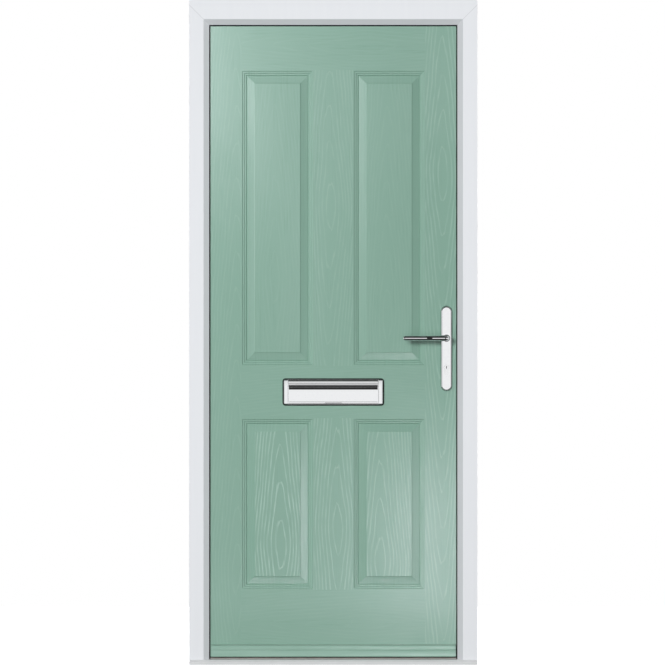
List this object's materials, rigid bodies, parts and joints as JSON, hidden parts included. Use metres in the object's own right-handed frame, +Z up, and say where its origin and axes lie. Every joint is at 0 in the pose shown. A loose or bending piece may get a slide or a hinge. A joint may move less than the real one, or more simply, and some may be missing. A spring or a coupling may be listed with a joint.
{
  "type": "panelled front door set",
  "caption": "Green raised-panel front door in a white plastic frame, with lever handles, letterplate, hook lock and butt hinges, opening inwards.",
  "frame": {"origin": "on the underside of the threshold, in the middle of the frame's width and depth", "axes": "+X to the right as seen from outside, +Y into the house, +Z up"},
  "size_m": [0.91, 0.158, 2.1],
  "materials": {
    "white_plastic": "white satin plastic",
    "green_skin": "satin grey-green with an embossed wood grain",
    "foam": "rigid insulating foam",
    "timber": "laminated softwood",
    "chrome": "polished chrome",
    "lock_steel": "zinc plated steel",
    "hinge_steel": "satin steel",
    "threshold_metal": "satin aluminium",
    "seal_rubber": "black rubber",
    "sleeve_plastic": "black plastic"
  },
  "bodies": {
    "frame": {"hinge_jamb": "white_plastic", "lock_jamb": "white_plastic", "frame_head": "white_plastic", "head_extension": "white_plastic", "threshold": "threshold_metal", "threshold_seal": "seal_rubber", "hinge_side_seal": "seal_rubber", "lock_side_seal": "seal_rubber", "head_seal": "seal_rubber", "centre_keep": "lock_steel", "upper_keep": "lock_steel", "lower_keep": "lock_steel", "bottom_hinge_frame_leaf": "hinge_steel", "middle_hinge_frame_leaf": "hinge_steel", "top_hinge_frame_leaf": "hinge_steel", "bottom_hinge_pin": "hinge_steel", "middle_hinge_pin": "hinge_steel", "top_hinge_pin": "hinge_steel"},
    "leaf": {"outer_skin": "green_skin", "inner_skin": "green_skin", "upper_core": "foam", "lower_core": "foam", "hinge_stile": "timber", "lock_stile": "timber", "top_rail": "timber", "mid_rail": "timber", "bottom_rail": "timber", "weather_bar": "green_skin", "bottom_hinge_door_leaf": "hinge_steel", "middle_hinge_door_leaf": "hinge_steel", "top_hinge_door_leaf": "hinge_steel", "lock_faceplate": "lock_steel", "lock_case": "lock_steel", "upper_hook_case": "lock_steel", "lower_hook_case": "lock_steel", "cylinder_body": "chrome", "outer_backplate": "chrome", "inner_backplate": "chrome", "handle_bolts": "lock_steel", "letter_frame": "chrome", "inner_letter_frame": "chrome", "flap_pins": "lock_steel", "outer_sleeve": "sleeve_plastic", "inner_sleeve": "sleeve_plastic", "letter_bolts": "lock_steel"},
    "levers": {"outer_lever": "chrome", "inner_lever": "chrome", "spindle": "lock_steel", "latch_follower": "lock_steel"},
    "latch": {"latch": "lock_steel"},
    "deadbolt": {"deadbolt": "lock_steel"},
    "drive": {"upper_drive_bar": "lock_steel", "lower_drive_bar": "lock_steel"},
    "upper_hook": {"upper_hook": "lock_steel"},
    "lower_hook": {"lower_hook": "lock_steel"},
    "outer_key": {"outer_plug": "chrome", "cam": "lock_steel"},
    "inner_key": {"inner_plug": "chrome"},
    "outer_flap": {"outer_flap": "chrome"},
    "inner_flap": {"inner_flap": "chrome"}
  },
  "joints": [
    {"name": "door_swing", "type": "hinge", "parent": "frame", "child": "leaf", "pos_m": [-0.405, 0.046, 1.03], "axis": [0, 0, 1], "range_deg": [0, 100]},
    {"name": "lever_press", "type": "hinge", "parent": "leaf", "child": "levers", "pos_m": [0.358, 0.015, 1.031], "axis": [0, -1, 0], "range_deg": [0, 40], "stiffness_Nm_per_rad": 2, "springref_deg": -34.38},
    {"name": "latch_slide", "type": "slide", "parent": "leaf", "child": "latch", "axis": [-1, 0, 0], "range_m": [0, 0.012]},
    {"name": "deadbolt_slide", "type": "slide", "parent": "leaf", "child": "deadbolt", "axis": [1, 0, 0], "range_m": [0, 0.02]},
    {"name": "drive_slide", "type": "slide", "parent": "leaf", "child": "drive", "axis": [0, 0, 1], "range_m": [0, 0.02]},
    {"name": "upper_hook_turn", "type": "hinge", "parent": "leaf", "child": "upper_hook", "pos_m": [0.385, 0.015, 1.7], "axis": [0, 1, 0], "range_deg": [0, 90]},
    {"name": "lower_hook_turn", "type": "hinge", "parent": "leaf", "child": "lower_hook", "pos_m": [0.385, 0.015, 0.33], "axis": [0, 1, 0], "range_deg": [0, 90]},
    {"name": "outer_key_turn", "type": "hinge", "parent": "leaf", "child": "outer_key", "pos_m": [0.358, 0.015, 0.939], "axis": [0, -1, 0], "range_deg": [0, 360]},
    {"name": "inner_key_turn", "type": "hinge", "parent": "leaf", "child": "inner_key", "pos_m": [0.358, 0.015, 0.939], "axis": [0, 1, 0], "range_deg": [0, 360]},
    {"name": "outer_flap_lift", "type": "hinge", "parent": "leaf", "child": "outer_flap", "pos_m": [0, -0.014, 0.87865], "axis": [-1, 0, 0], "range_deg": [0, 90], "stiffness_Nm_per_rad": 0.1, "springref_deg": -28.65},
    {"name": "inner_flap_lift", "type": "hinge", "parent": "leaf", "child": "inner_flap", "pos_m": [0, 0.044, 0.87865], "axis": [1, 0, 0], "range_deg": [0, 90], "stiffness_Nm_per_rad": 0.1, "springref_deg": -28.65}
  ],
  "couplings": [
    {"joint": "latch_slide", "follows": "lever_press", "m_per_rad": 0.017189},
    {"joint": "deadbolt_slide", "follows": "drive_slide", "ratio": 1},
    {"joint": "upper_hook_turn", "follows": "drive_slide", "rad_per_m": 78.54},
    {"joint": "lower_hook_turn", "follows": "drive_slide", "rad_per_m": 78.54},
    {"joint": "outer_key_turn", "follows": "drive_slide", "rad_per_m": 314.16}
  ]
}
